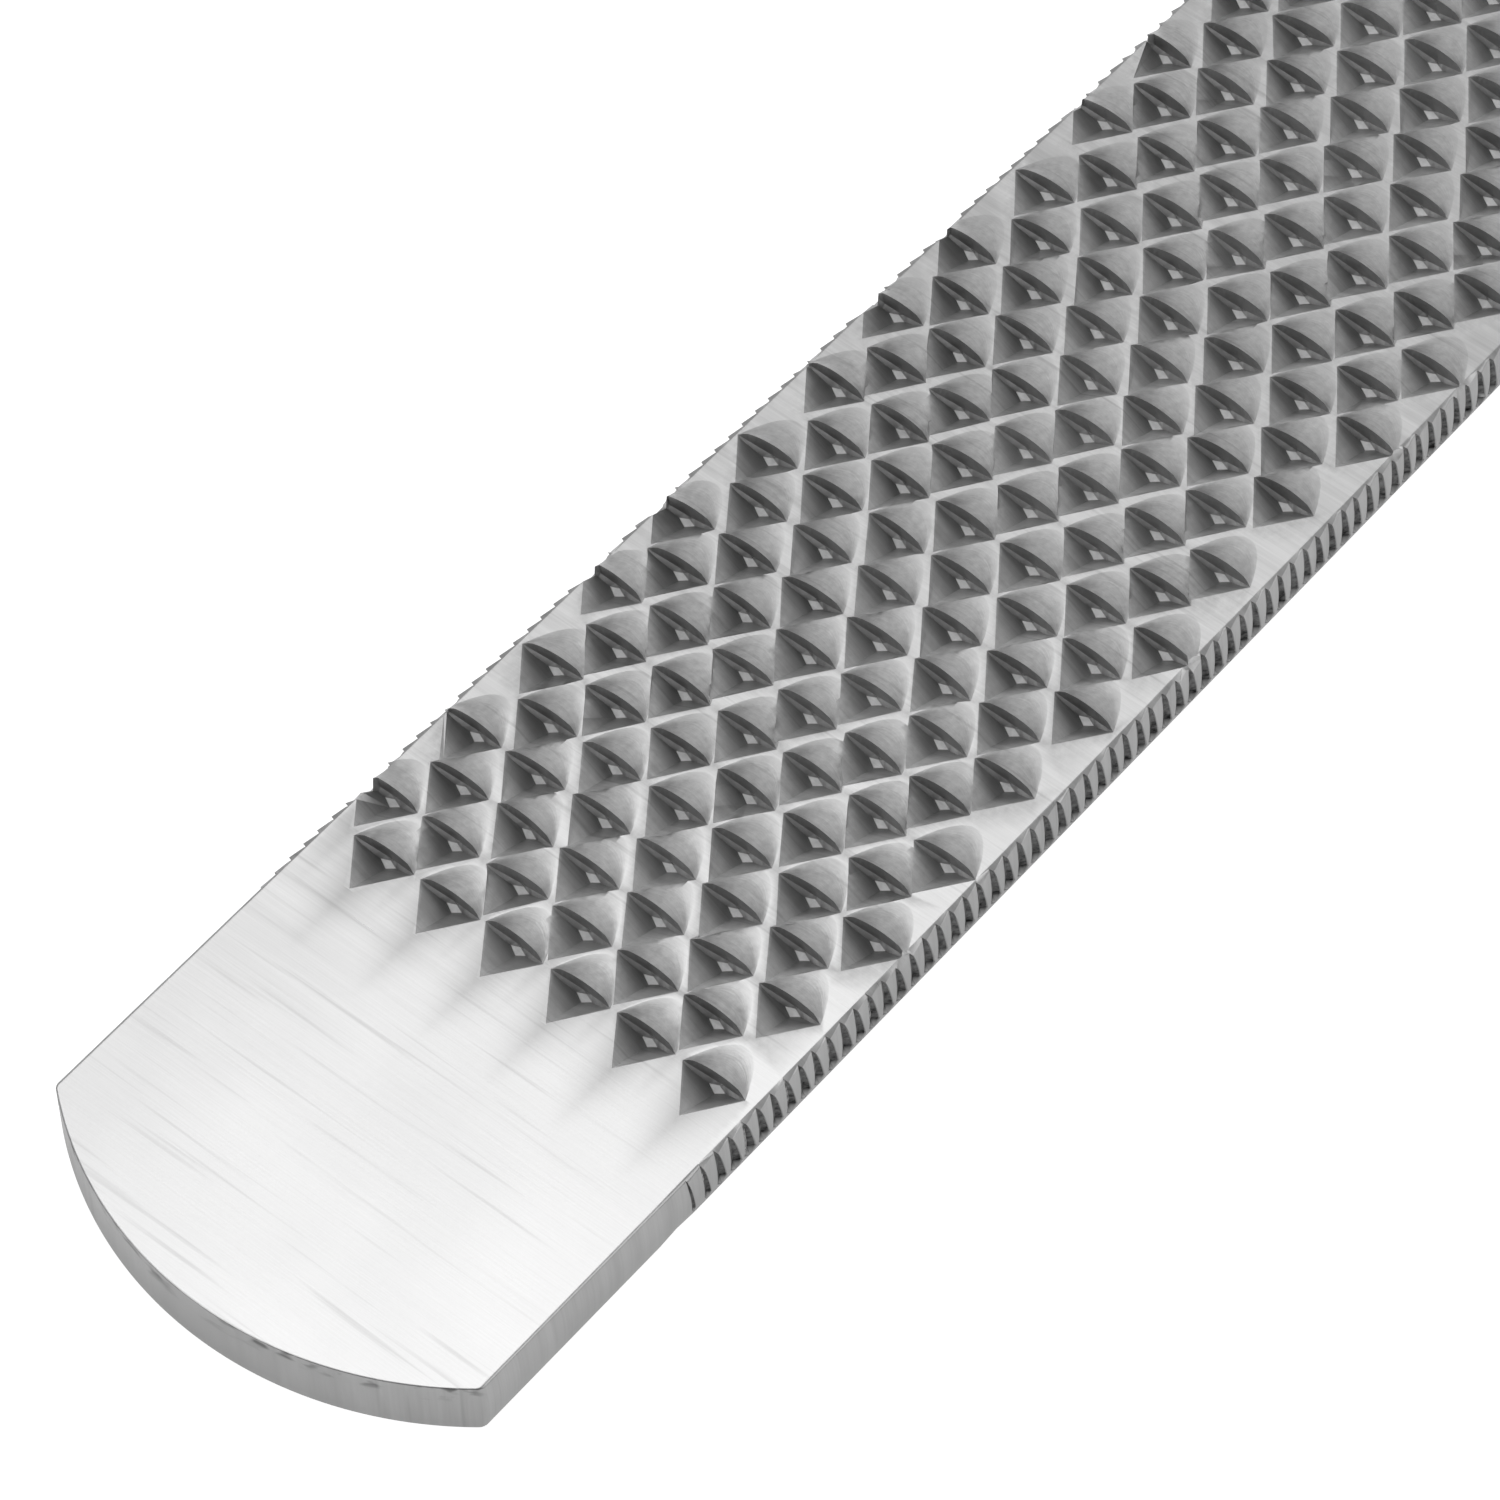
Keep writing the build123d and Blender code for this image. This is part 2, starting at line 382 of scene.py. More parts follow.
def arrisProfile(radius):
    # outward distance and height, from the upper face down the side to the lower face
    steps = blade["arrisSteps"]
    points = []
    for k in range(steps + 1):
        a = math.pi / 2 * k / steps
        points.append((radius * math.sin(a) - radius, faceZ - radius + radius * math.cos(a)))
    for k in range(1, 6):
        points.append((0.0, lerp(faceZ - radius, radius - faceZ, k / 6)))
    for k in range(steps, -1, -1):
        a = math.pi / 2 * k / steps
        points.append((radius * math.sin(a) - radius, radius - faceZ - radius * math.cos(a)))
    return points


sideProfile = arrisProfile(blade["sideArris"])
sideRun = [0.0]
for (a0, z0), (a1, z1) in zip(sideProfile[:-1], sideProfile[1:]):
    sideRun.append(sideRun[-1] + math.hypot(a1 - a0, z1 - z0))
fullRun = sideRun[-1]


def runAtDepth(depth):
    radius = blade["sideArris"]
    if depth <= 0:
        return 0.0
    if depth < radius:
        return radius * math.acos(1 - depth / radius)
    return radius * math.pi / 2 + depth - radius


def sidePlace(x, run, side, outward=0.0):
    run = clamp(run, 0.0, fullRun)
    k = next(i for i in range(len(sideRun) - 1) if run <= sideRun[i + 1])
    f = (run - sideRun[k]) / (sideRun[k + 1] - sideRun[k])
    (out0, z0), (out1, z1) = sideProfile[k:k + 2]
    out, z = lerp(out0, out1, f), lerp(z0, z1, f)
    crown = blade["crown"] * max(0.0, 1 - (z / faceZ) ** 2)
    return (x, side * (sideHalf + out + min(crown + outward, blade["crown"])), z)


def tipPath():
    # points, outward directions and arris radius round the tip, from the +Y side to the -Y side
    radius, soft = blade["tipRadius"], blade["cornerRound"]
    centreX = tipX + radius
    softY = sideHalf - soft
    softX = centreX - math.sqrt((radius - soft) ** 2 - softY ** 2)
    start = math.atan2(softY, softX - centreX)
    half = []
    for k in range(9):
        a = lerp(math.pi / 2, start, k / 8)
        arris = lerp(blade["sideArris"], blade["tipArris"], k / 8)
        place = (softX + soft * math.cos(a), softY + soft * math.sin(a))
        half.append((place, (math.cos(a), math.sin(a)), arris))
    arc = []
    for k in range(1, blade["arcSteps"]):
        a = lerp(start, 2 * math.pi - start, k / blade["arcSteps"])
        place = (centreX + radius * math.cos(a), radius * math.sin(a))
        arc.append((place, (math.cos(a), math.sin(a)), blade["tipArris"]))
    other = [((p[0], -p[1]), (n[0], -n[1]), r) for p, n, r in reversed(half)]
    return half + arc + other, softX


def heelPath():
    soft = blade["heelRadius"]
    softY = sideHalf - soft
    softX = heelX - soft
    half = []
    for k in range(13):
        a = lerp(-math.pi / 2, 0, k / 12)
        place = (softX + soft * math.cos(a), -softY + soft * math.sin(a))
        half.append((place, (math.cos(a), math.sin(a)), blade["sideArris"]))
    return half + [((p[0], -p[1]), (n[0], -n[1]), r) for p, n, r in reversed(half)], softX


tipLine, sideStartX = tipPath()
heelLine, sideEndX = heelPath()


def endWall(path):
    places, marks, faces = [], [], []
    for (px, py), (nx, ny), radius in path:
        profile = arrisProfile(radius)
        for out, z in profile:
            grow = out + blade["crown"] * max(0.0, 1 - (z / faceZ) ** 2) * abs(ny) ** 12
            places.append((px + nx * grow, py + ny * grow, z))
            # painted shade on the upright wall round the tip and the heel
            marks.append((0.0, 0.0, 0.0, 0.0, 1.0 if abs(z) < faceZ - 0.02 else 0.0))
    rows = len(profile)
    for i in range(len(path) - 1):
        for k in range(rows - 1):
            a = i * rows + k
            faces.append((a, a + rows, a + rows + 1, a + 1))
    addToShell(places, marks, faces)


def faceOutline():
    count = int((sideEndX - sideStartX) / blade["sideStep"])
    stations = [lerp(sideStartX, sideEndX, k / count) for k in range(1, count)]
    outline = [(p[0] - n[0] * r, p[1] - n[1] * r) for p, n, r in tipLine]
    outline += [(x, -lip) for x in stations]
    outline += [(p[0] - n[0] * r, p[1] - n[1] * r) for p, n, r in heelLine]
    outline += [(x, lip) for x in reversed(stations)]
    return outline, stations


def upperFace():
    sheet = newSheet()
    outline, _ = faceOutline()
    ring = [addPoint(sheet, x, y, (x, y, faceZ)) for x, y in outline]
    addLine(sheet, ring + ring[:1])
    for tooth in teeth:
        addTooth(sheet, tooth)
    addDipShade(sheet)
    edge = [Vector(p) for p in outline]

    def keep(m):
        if sideStartX < m.x < sideEndX:
            return abs(m.y) < lip
        return pointInside(m, edge)

    flat, places, marks, faces = triangulate(sheet, upperPlace, keep)
    used = {i for face in faces for i in face}
    border = {1: {}, -1: {}}
    for i in used:
        where = flat[i]
        if abs(abs(where.y) - lip) < 2e-4 and sideStartX - 1e-4 < where.x < sideEndX + 1e-4:
            border[1 if where.y > 0 else -1][round(where.x, 5)] = (places[i], marks[i])
    addToShell(places, marks, faces)
    return border


endWall(tipLine)
endWall(heelLine)
border = upperFace()
print("upper face:", len(teeth), "teeth,", len(shell["faces"]), "faces")

# single-cut teeth across both long sides
gullets = {
    "start": 24.0,
    "pitch": 1.69,
    "endMargin": 40.0,
    "depth": 0.56,
    "width": 1.48,
    "rise": 0.3,  # each cut throws up an edge on its handle side
    "lean": 8.0,
    "top": (0.02, 0.16),  # least and most distance down from the upper face
    "foot": 0.34,  # distance up from the lower face
    # painted shade inside each cut
    "cutShade": (1.8, 2.25),  # at the top and at the foot
    "wallAt": 0.43,  # the walls turn steep at this share of the width
    "wallDepth": 0.3,  # share of the depth reached there
    "deepestAt": 0.12,
    "levels": 10,
    "seed": 5,
}


def gulletShape(f):
    # share of the full width down one cut: pointed at the top, blunt at the foot
    return min(1.0, f / 0.92) ** 0.62 * min(1.0, (1 - f) / 0.08) ** 0.5


# points on the long sides carry painted shade in their side mark
def longSide(side, dice):
    sheet = newSheet()
    top = sorted(border[side].items())
    upper = [addPoint(sheet, x, -runAtDepth(faceZ - place[2]), place, mark) for x, (place, mark) in top]
    rim = [(sheet["flat"][i].x, -sheet["flat"][i].y) for i in upper]

    def rimRun(x):
        for (x0, r0), (x1, r1) in zip(rim[:-1], rim[1:]):
            if x0 <= x <= x1:
                return r0 if x1 - x0 < 1e-6 else lerp(r0, r1, (x - x0) / (x1 - x0))
        return 0.0

    _, stations = faceOutline()

    def column(x, runs):
        return [addPoint(sheet, x, -run, sidePlace(x, run, side), (0, 0, 0, 0, 1.0)) for run in runs]

    lower = [addPoint(sheet, x, -fullRun, sidePlace(x, fullRun, side)) for x in reversed(stations)]
    heelEnd, tipEnd = column(sideEndX, sideRun[1:]), column(sideStartX, sideRun[:0:-1])
    addLine(sheet, upper + heelEnd + lower + tipEnd + upper[:1])
    for k in range(1, len(sideRun) - 1):  # keeps the arrises round between the cuts
        for x in [sideStartX + 0.5] + stations + [sideEndX - 0.5]:
            if sideRun[k] > max(rimRun(x + d) for d in (-0.3, 0, 0.3)) + 0.04:
                addPoint(sheet, x, -sideRun[k], sidePlace(x, sideRun[k], side), (0, 0, 0, 0, clamp(k / 5)))
    first = cornerX + gullets["start"]
    count = int((heelX - gullets["endMargin"] - first) / gullets["pitch"]) + 1
    slope = math.tan(math.radians(gullets["lean"]))
    low = fullRun - gullets["foot"]
    wall, deepest = gullets["wallAt"], gullets["deepestAt"]
    for i in range(count):
        middle = first + i * gullets["pitch"] + dice.gauss(0, 0.03)
        grown = min(1.0, (i + 1.5) / 4) * dice.uniform(0.92, 1.04)
        start = dice.uniform(*gullets["top"])
        start = max(start, max(rimRun(middle + d / 5) for d in range(-6, 7)) + 0.08)
        lines = {offset: [] for offset in (-0.5, -wall, deepest, wall, 0.5)}
        for k in range(gullets["levels"] + 1):
            f = (k / gullets["levels"]) ** 1.4
            run = lerp(start, low, f)
            share = gulletShape(f) * grown
            x = middle + (run - fullRun / 2) * slope
            if k in (0, gullets["levels"]):
                point = addPoint(sheet, x, -run, sidePlace(x, run, side), (0, 0, 0, 0, 1.0))
                for line in lines.values():
                    line.append(point)
                continue
            rise = gullets["rise"] * min(1.0, f / 0.03) * max(0.0, 1 - f / 0.6) * grown
            # painted shade inside the cut, heavier towards its foot
            dark = (1.0, lerp(*gullets["cutShade"], f), 0, 0, 0)
            depth = gullets["depth"] * share
            for offset, outward, mark in (
                (-0.5, 0.0, (0, 0, 0, 0, 1.0)),
                (-wall, -gullets["wallDepth"] * depth, dark),
                (deepest, -depth, dark),
                (wall, -gullets["wallDepth"] * depth, dark),
                (0.5, rise, (0, 0, 0, 0, 1.0)),
            ):
                u = x + offset * gullets["width"] * share
                lines[offset].append(addPoint(sheet, u, -run, sidePlace(u, run, side, outward), mark))
        for line in lines.values():
            addLine(sheet, line)

    def keep(m):
        return sideStartX < m.x < sideEndX and rimRun(m.x) <= -m.y <= fullRun

    def placeOf(u, v):
        return sidePlace(u, -v, side), (0.0, 0.0, 0.0, 0.0, 1.0)

    _, places, marks, faces = triangulate(sheet, placeOf, keep)
    addToShell(places, marks, faces)


dice = random.Random(gullets["seed"])
longSide(1, dice)
longSide(-1, dice)
print("long sides:", len(shell["faces"]), "faces")


def lowerFace():
    sheet = newSheet()
    outline, _ = faceOutline()
    ring = [addPoint(sheet, x, y, (x, y, -faceZ)) for x, y in outline]
    addLine(sheet, ring + ring[:1])
    edge = [Vector(p) for p in outline]

    def keep(m):
        return pointInside(m, edge)

    _, places, marks, faces = triangulate(sheet, lambda u, v: ((u, v, -faceZ), plain), keep)
    addToShell(places, marks, faces)


lowerFace()

# tapered tang, forged in one with the blade and driven into the handle
tang = {
    "rootWidth": 15.0,
    "rootThickness": 5.0,
    "endWidth": 6.0,
    "endThickness": 3.2,
    "hidden": 6.0,  # its root starts this far inside the heel
    "length": 66.0,
    "cornerRound": 0.35,
    "around": 16,  # points in each ring
    "dull": 1.6,
}


def addTang():
    whole = tang["hidden"] + tang["length"]
    stations = [heelX - 1.0] + [heelX + k * 0.5 for k in range(11)] + [heelX + tang["length"]]
    around = tang["around"]
    places, marks, faces = [], [], []
    for x in stations:
        share = (x - heelX + tang["hidden"]) / whole
        halfY = lerp(tang["rootWidth"], tang["endWidth"], share) / 2
        halfZ = lerp(tang["rootThickness"], tang["endThickness"], share) / 2
        soft = tang["cornerRound"]
        for k in range(around):
            corner, step = divmod(k, around // 4)
            a = math.pi / 2 * (corner + step / (around // 4 - 1))
            cornerY = halfY - soft if corner in (0, 3) else soft - halfY
            cornerZ = halfZ - soft if corner in (0, 1) else soft - halfZ
            places.append((x, cornerY + soft * math.cos(a), cornerZ + soft * math.sin(a)))
            marks.append((0.0, 0.0, 0.0, 0.0, tang["dull"]))
    for i in range(len(stations) - 1):
        for k in range(around):
            a, b = around * i + k, around * i + (k + 1) % around
            faces.append((a, b, b + around, a + around))
    faces.append(tuple(range(around)))
    faces.append(tuple(range(len(places) - around, len(places))))
    addToShell(places, marks, faces)


addTang()


def makeBlade():
    mesh = bpy.data.meshes.new("raspBlade")
    mesh.from_pydata([[c * mm for c in place] for place in shell["places"]], [], shell["faces"])
    for k, name in enumerate(markNames):
        layer = mesh.attributes.new(name, "FLOAT", "POINT")
        layer.data.foreach_set("value", [mark[k] for mark in shell["marks"]])
    bm = bmesh.new()
    bm.from_mesh(mesh)
    bmesh.ops.recalc_face_normals(bm, faces=bm.faces)
    pitLayer = bm.verts.layers.float["pit"]
    for face in bm.faces:
        level = all(abs(abs(v.co.z) - faceZ * mm) < 1e-6 for v in face.verts)
        face.smooth = not (level and abs(face.normal.z) > 0.9999)
    for edge in bm.edges:
        if len(edge.link_faces) == 2:
            inPit = all(v[pitLayer] > 0.9 for v in edge.verts)
            sharpAngle = blade["sharpInPit"] if inPit else blade["sharpAngle"]
            edge.smooth = edge.calc_face_angle() < math.radians(sharpAngle)
    openEdges = [e for e in bm.edges if len(e.link_faces) != 2]
    print("blade mesh:", len(bm.verts), "points,", len(bm.faces), "faces,", len(openEdges), "open edges")
    bm.to_mesh(mesh)
    bm.free()
    piece = bpy.data.objects.new("raspBlade", mesh)
    bpy.context.scene.collection.objects.link(piece)
    return piece


raspBlade = makeBlade()
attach(raspBlade, "root")
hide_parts("rasp_blade")


def newMaterial(name):
    material = bpy.data.materials.new(name)
    material.use_nodes = True
    tree = material.node_tree
    tree.nodes.clear()
    out = tree.nodes.new("ShaderNodeOutputMaterial")
    shader = tree.nodes.new("ShaderNodeBsdfPrincipled")
    tree.links.new(shader.outputs["BSDF"], out.inputs["Surface"])
    return material, tree, shader


def mathNode(tree, operation, a, b=None):
    made = tree.nodes.new("ShaderNodeMath")
    made.operation = operation
    for slot, value in ((0, a), (1, b)):
        if value is None:
            continue
        if isinstance(value, (int, float)):
            made.inputs[slot].default_value = value
        else:
            tree.links.new(value, made.inputs[slot])
    return made.outputs[0]


def times(tree, a, b):
    return mathNode(tree, "MULTIPLY", a, b)


def plus(tree, a, b):
    return mathNode(tree, "ADD", a, b)


def minus(tree, a, b):
    return mathNode(tree, "SUBTRACT", a, b)


def stretched(tree, coordinates, scale):
    mapping = tree.nodes.new("ShaderNodeMapping")
    mapping.inputs["Scale"].default_value = scale
    tree.links.new(coordinates, mapping.inputs["Vector"])
    return mapping.outputs["Vector"]


def noiseAt(tree, vector, scale, detail=3.0, rough=0.55):
    made = tree.nodes.new("ShaderNodeTexNoise")
    made.inputs["Scale"].default_value = scale
    made.inputs["Detail"].default_value = detail
    made.inputs["Roughness"].default_value = rough
    tree.links.new(vector, made.inputs["Vector"])
    return made.outputs["Fac"]


def ranged(tree, value, fromLow, fromHigh, toLow, toHigh):
    made = tree.nodes.new("ShaderNodeMapRange")
    tree.links.new(value, made.inputs["Value"])
    for key, number in zip(("From Min", "From Max", "To Min", "To Max"), (fromLow, fromHigh, toLow, toHigh)):
        made.inputs[key].default_value = number
    return made.outputs["Result"]


def greyFrom(tree, value):
    made = tree.nodes.new("ShaderNodeCombineColor")
    for channel in range(3):
        tree.links.new(value, made.inputs[channel])
    return made.outputs["Color"]


def attributeValue(tree, name):
    made = tree.nodes.new("ShaderNodeAttribute")
    made.attribute_name = name
    return made.outputs["Fac"]


def ramp(tree, value, stops):
    made = tree.nodes.new("ShaderNodeValToRGB")
    elements = made.color_ramp.elements
    for element, (position, color) in zip(elements, (stops[0], stops[-1])):
        element.position = position
        element.color = (*color, 1)
    for position, color in stops[1:-1]:
        elements.new(position).color = (*color, 1)
    tree.links.new(value, made.inputs["Fac"])
    return made.outputs["Color"]


def addBump(tree, shader, height, strength, distance):
    bump = tree.nodes.new("ShaderNodeBump")
    bump.inputs["Strength"].default_value = strength
    bump.inputs["Distance"].default_value = distance
    tree.links.new(height, bump.inputs["Height"])
    tree.links.new(bump.outputs["Normal"], shader.inputs["Normal"])


# the face is ground straight across; painted shade darkens the punched pits and cuts, the tip and the sides
finish = {
    "streakSize": (5200, 110, 110),
    "broadSize": (760, 30, 30),
    "scratchSize": (1500, 42, 42),
    "scratchDark": 0.16,
    "fleckSize": (650, 260, 650),
    "fleckDark": 0.62,
    "bright": (0.60, 0.78),
    # the next three set painted shade: in pits and cuts, on the sides and ends, and ahead of the first pits
    "pitShade": (0.29, 0.48),
    "sideShade": 0.26,
    "dipShadeAmount": 0.40,
    "roughness": (0.27, 0.40),
    "pitRough": 0.24,
    "cloudSize": (70, 70, 70),
    # noise that varies the painted pit shade and mottles worked steel
    "shadeAndMottleSize": (1600, 1600, 1600),
    "mottle": 0.5,
    "arcCount": 22.0,  # how finely the arcs behind each pit are drawn
    "arcDrift": 5.0,
    "arcTone": (0.88, 1.08),
    "grain": 0.00003,
}


def groundSteel():
    material, tree, shader = newMaterial("groundSteel")
    links = tree.links
    coordinates = tree.nodes.new("ShaderNodeTexCoord").outputs["Object"]
    fine = noiseAt(tree, stretched(tree, coordinates, finish["streakSize"]), 1.0, 2.0)
    broad = noiseAt(tree, stretched(tree, coordinates, finish["broadSize"]), 1.0, 3.0)
    cloud = noiseAt(tree, stretched(tree, coordinates, finish["cloudSize"]), 1.0, 2.0)
    streak = plus(tree, times(tree, fine, 0.36), times(tree, broad, 0.64))
    # now and then a deeper, longer scratch from the belt
    lengthy = noiseAt(tree, stretched(tree, coordinates, finish["scratchSize"]), 1.0, 2.0)
    scratch = ranged(tree, lengthy, 0.60, 0.72, 0.0, finish["scratchDark"])
    mound = attributeValue(tree, "mound")
    raised = mathNode(tree, "MINIMUM", times(tree, mound, 3.0), 1.0)
    calm = times(tree, minus(tree, streak, 0.5), minus(tree, 1.0, raised))
    streak = plus(tree, calm, 0.5)
    tone = ranged(tree, streak, 0.3, 0.7, *finish["bright"])
    tone = times(tree, tone, ranged(tree, cloud, 0.3, 0.7, 0.96, 1.03))
    tone = times(tree, tone, minus(tree, 1.0, scratch))
    # painted shade in the pits and cuts, stronger where the depth mark is higher, varied by noise
    depth = times(tree, attributeValue(tree, "pit"), attributeValue(tree, "depth"))
    shadeAndMottleNoise = noiseAt(tree, stretched(tree, coordinates, finish["shadeAndMottleSize"]), 1.0, 3.0)
    dark = times(tree, depth, ranged(tree, shadeAndMottleNoise, 0.3, 0.7, *finish["pitShade"]))
    tone = times(tree, tone, minus(tree, 1.0, dark))
    # painted shade on the blade's sides and ends, the same mark also darkening the tang, and painted shade
    # ahead of the first pits
    for name, amount in (("side", finish["sideShade"]), ("dipShade", finish["dipShadeAmount"])):
        less = times(tree, attributeValue(tree, name), amount)
        tone = times(tree, tone, minus(tree, 1.0, less))
    # dark flecks along the top of the tip's end wall
    apart = tree.nodes.new("ShaderNodeSeparateXYZ")
    links.new(coordinates, apart.inputs["Vector"])
    atTip = ranged(tree, apart.outputs["X"], (cornerX + 0.3) * mm, (cornerX - 1.0) * mm, 0.0, 1.0)
    nearTop = ranged(tree, apart.outputs["Z"], (faceZ - 1.9) * mm, (faceZ - 0.5) * mm, 0.0, 1.0)
    spots = noiseAt(tree, stretched(tree, coordinates, finish["fleckSize"]), 1.0, 2.0)
    flecks = ranged(tree, spots, 0.56, 0.66, 0.0, finish["fleckDark"])
    for share in (attributeValue(tree, "side"), atTip, nearTop):
        flecks = times(tree, flecks, share)
    tone = times(tree, tone, minus(tree, 1.0, flecks))
    # worked steel is mottled
    worked = mathNode(tree, "MINIMUM", plus(tree, attributeValue(tree, "pit"), raised), 1.0)
    mottle = times(tree, minus(tree, shadeAndMottleNoise, 0.5), times(tree, worked, finish["mottle"]))
    tone = times(tree, tone, plus(tree, 1.0, mottle))
    # uneven arcs where the metal rolled up behind each pit
    along = tree.nodes.new("ShaderNodeCombineXYZ")
    links.new(times(tree, mound, finish["arcCount"]), along.inputs[0])
    drifting = noiseAt(tree, stretched(tree, coordinates, (260, 260, 260)), 1.0, 2.0)
    links.new(times(tree, drifting, finish["arcDrift"]), along.inputs[1])
    rings = minus(tree, noiseAt(tree, along.outputs["Vector"], 1.0, 3.0, 0.7), 0.5)
    rings = times(tree, times(tree, rings, 4.0), raised)
    tone = times(tree, tone, ranged(tree, rings, -1.0, 1.0, *finish["arcTone"]))
    links.new(greyFrom(tree, tone), shader.inputs["Base Color"])
    shader.inputs["Metallic"].default_value = 1.0
    shader.inputs["Anisotropic"].default_value = 0.4
    shader.inputs["Anisotropic Rotation"].default_value = 0.25
    tangent = tree.nodes.new("ShaderNodeTangent")
    tangent.direction_type = "RADIAL"
    tangent.axis = "X"
    links.new(tangent.outputs["Tangent"], shader.inputs["Tangent"])
    rough = ranged(tree, streak, 0.3, 0.7, *finish["roughness"])
    rough = plus(tree, rough, times(tree, attributeValue(tree, "pit"), finish["pitRough"]))
    links.new(rough, shader.inputs["Roughness"])
    addBump(tree, shader, plus(tree, streak, times(tree, rings, 0.35)), 0.4, finish["grain"])
    return material


steel = groundSteel()
raspBlade.data.materials.append(steel)


# lacquered beech, cut so that the growth rings run along the handle
wood = {
    "pith": (0, -0.021, -0.034),
    "ringPitch": 0.0021,
    "pale": (0.60, 0.37, 0.19),
    "middle": (0.47, 0.265, 0.125),
    "late": (0.30, 0.155, 0.068),
    "wanderSize": (14, 70, 70),
    "fibreSize": (45, 1500, 1500),
    "poreSize": (320, 5200, 5200),
    "poreDark": 0.275,
    "poreDepth": 0.00004,
    "coat": 0.35,
    "coatRoughness": 0.16,
}


def turnedWood():
    material, tree, shader = newMaterial("turnedBeech")
    coordinates = tree.nodes.new("ShaderNodeTexCoord").outputs["Object"]
    offset = tree.nodes.new("ShaderNodeVectorMath")
    offset.operation = "SUBTRACT"
    tree.links.new(coordinates, offset.inputs[0])
    offset.inputs[1].default_value = wood["pith"]
    across = tree.nodes.new("ShaderNodeVectorMath")
    across.operation = "MULTIPLY"
    tree.links.new(offset.outputs["Vector"], across.inputs[0])
    across.inputs[1].default_value = (0.02, 1, 1)
    far = tree.nodes.new("ShaderNodeVectorMath")
    far.operation = "LENGTH"
    tree.links.new(across.outputs["Vector"], far.inputs[0])
    wander = noiseAt(tree, stretched(tree, coordinates, wood["wanderSize"]), 1.0, 3.0)
    rings = mathNode(tree, "DIVIDE", far.outputs["Value"], wood["ringPitch"])
    rings = plus(tree, rings, times(tree, wander, 2.2))
    ringShare = mathNode(tree, "POWER", mathNode(tree, "FRACT", rings), 2.0)
    fibre = noiseAt(tree, stretched(tree, coordinates, wood["fibreSize"]), 1.0, 3.0, 0.65)
    pores = noiseAt(tree, stretched(tree, coordinates, wood["poreSize"]), 1.0, 1.0)
    pores = ranged(tree, pores, 0.60, 0.70, 0.0, 1.0)
    shade = plus(tree, times(tree, ringShare, 0.5), times(tree, fibre, 0.62))
    shade = plus(tree, shade, times(tree, pores, wood["poreDark"]))
    color = ramp(tree, shade, [(0.22, wood["pale"]), (0.58, wood["middle"]), (1.0, wood["late"])])
    tree.links.new(color, shader.inputs["Base Color"])
    tree.links.new(ranged(tree, fibre, 0.3, 0.7, 0.36, 0.48), shader.inputs["Roughness"])
    shader.inputs["Coat Weight"].default_value = wood["coat"]
    shader.inputs["Coat Roughness"].default_value = wood["coatRoughness"]
    turning = noiseAt(tree, stretched(tree, coordinates, (2600, 12, 12)), 1.0, 2.0)
    height = minus(tree, plus(tree, fibre, times(tree, turning, 0.4)), pores)
    addBump(tree, shader, height, 0.35, wood["poreDepth"])
    return material


# pressed brass, polished on the lathe and a little tarnished
brass = {
    "bright": (0.86, 0.62, 0.27),
    "tarnished": (0.52, 0.33, 0.13),
    "roughness": (0.20, 0.38),
    "lineSize": (6400, 24, 24),
    "cloudSize": (210, 150, 150),
    "lineDepth": 0.00002,
}


def polishedBrass():
    material, tree, shader = newMaterial("polishedBrass")
    coordinates = tree.nodes.new("ShaderNodeTexCoord").outputs["Object"]
    lines = noiseAt(tree, stretched(tree, coordinates, brass["lineSize"]), 1.0, 2.0)
    cloud = noiseAt(tree, stretched(tree, coordinates, brass["cloudSize"]), 1.0, 4.0, 0.6)
    shade = plus(tree, times(tree, cloud, 0.75), times(tree, lines, 0.25))
    color = ramp(tree, shade, [(0.40, brass["bright"]), (0.78, brass["tarnished"])])
    tree.links.new(color, shader.inputs["Base Color"])
    shader.inputs["Metallic"].default_value = 1.0
    tree.links.new(ranged(tree, shade, 0.3, 0.7, *brass["roughness"]), shader.inputs["Roughness"])
    addBump(tree, shader, lines, 0.4, brass["lineDepth"])
    return material


# bright drawn steel with a few hammer marks
brad = {"bright": 0.56, "dark": 0.30, "markSize": 900, "dent": 0.00003}


def bradSteel():
    material, tree, shader = newMaterial("hammeredBrad")
    coordinates = tree.nodes.new("ShaderNodeTexCoord").outputs["Object"]
    marks = noiseAt(tree, stretched(tree, coordinates, [brad["markSize"]] * 3), 1.0, 2.0)
    fine = noiseAt(tree, stretched(tree, coordinates, [6 * brad["markSize"]] * 3), 1.0, 2.0)
    shade = plus(tree, times(tree, marks, 0.7), times(tree, fine, 0.3))
    tone = ranged(tree, shade, 0.3, 0.7, brad["dark"], brad["bright"])
    tree.links.new(greyFrom(tree, tone), shader.inputs["Base Color"])
    shader.inputs["Metallic"].default_value = 1.0
    tree.links.new(ranged(tree, shade, 0.3, 0.7, 0.46, 0.28), shader.inputs["Roughness"])
    addBump(tree, shader, shade, 0.6, brad["dent"])
    return material


# these three keep their CAD shape, which is already as turned and pressed
finishes = {"handle": turnedWood(), "ferrule": polishedBrass(), "ferrule_brads": bradSteel()}
for name, material in finishes.items():
    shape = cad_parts[name].data
    for k in range(len(shape.materials)):
        shape.materials[k] = material
print("materials: steel, beech, brass, brads")


def lowestPoint(name):
    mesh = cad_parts[name].data
    return min((v.co for v in mesh.vertices), key=lambda c: c.z)


belly = lowestPoint("handle")
tipRest = Vector((tipX * mm + 0.004, 0, -faceZ * mm))
slope = (tipRest.z - belly.z) / (belly.x - tipRest.x)


ground = {
    "size": 4.0,
    "tone": 0.7,
    "glow": 0.34,  # light thrown back up at the tool
    "seen": 0.84,
}


